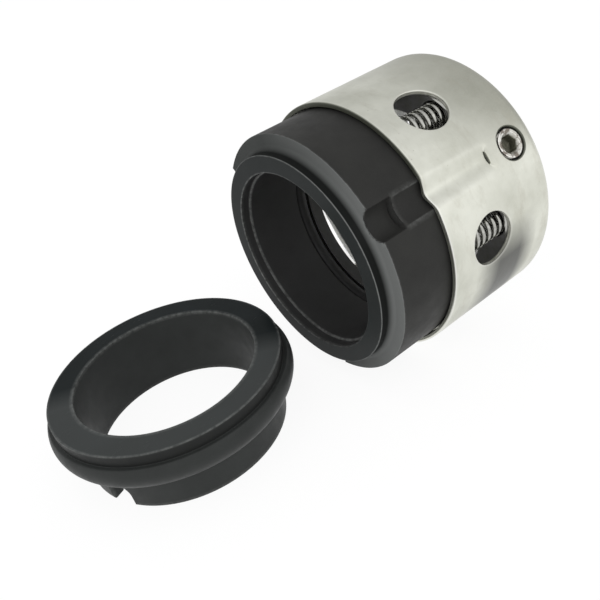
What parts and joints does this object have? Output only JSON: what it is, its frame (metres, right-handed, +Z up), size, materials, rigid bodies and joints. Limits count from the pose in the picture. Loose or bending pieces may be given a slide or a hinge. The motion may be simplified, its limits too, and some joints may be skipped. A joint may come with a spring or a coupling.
{
  "type": "component mechanical seal",
  "caption": "Pusher mechanical seal for a rotating shaft: a spring-loaded rotary head in a pressed steel shell, with its stationary seat ring lying beside it.",
  "frame": {"origin": "centre of the shaft bore at the drive end of the rotary head", "axes": "+X along the shaft axis from the running face to the drive end, +Z up; the head lies on its side and the seat lies face up on the same surface, at Z = -28 mm"},
  "size_m": [0.1016, 0.0654, 0.056],
  "materials": {
    "shell": "satin",
    "collar": "turned",
    "disc": "turned",
    "spring": "drawn wire",
    "screw": "bright",
    "seal_ring": null,
    "seat": null,
    "o_ring": "matt"
  },
  "bodies": {
    "drive_unit": {"retainer_shell": "shell", "drive_collar": "collar", "seat": "seat", "spring_1": "spring", "spring_2": "spring", "spring_3": "spring", "spring_4": "spring", "spring_5": "spring", "spring_6": "spring", "set_screw_1": "screw", "set_screw_2": "screw", "set_screw_3": "screw"},
    "face_unit": {"seal_ring": "seal_ring", "shaft_o_ring": "o_ring", "thrust_disc": "disc"}
  },
  "joints": [
    {"name": "face_slide", "type": "slide", "parent": "drive_unit", "child": "face_unit", "axis": [1, 0, 0], "range_m": [0, 0.003], "stiffness_N_per_m": 15000, "deforming": ["spring_1", "spring_2", "spring_3", "spring_4", "spring_5", "spring_6"]}
  ]
}
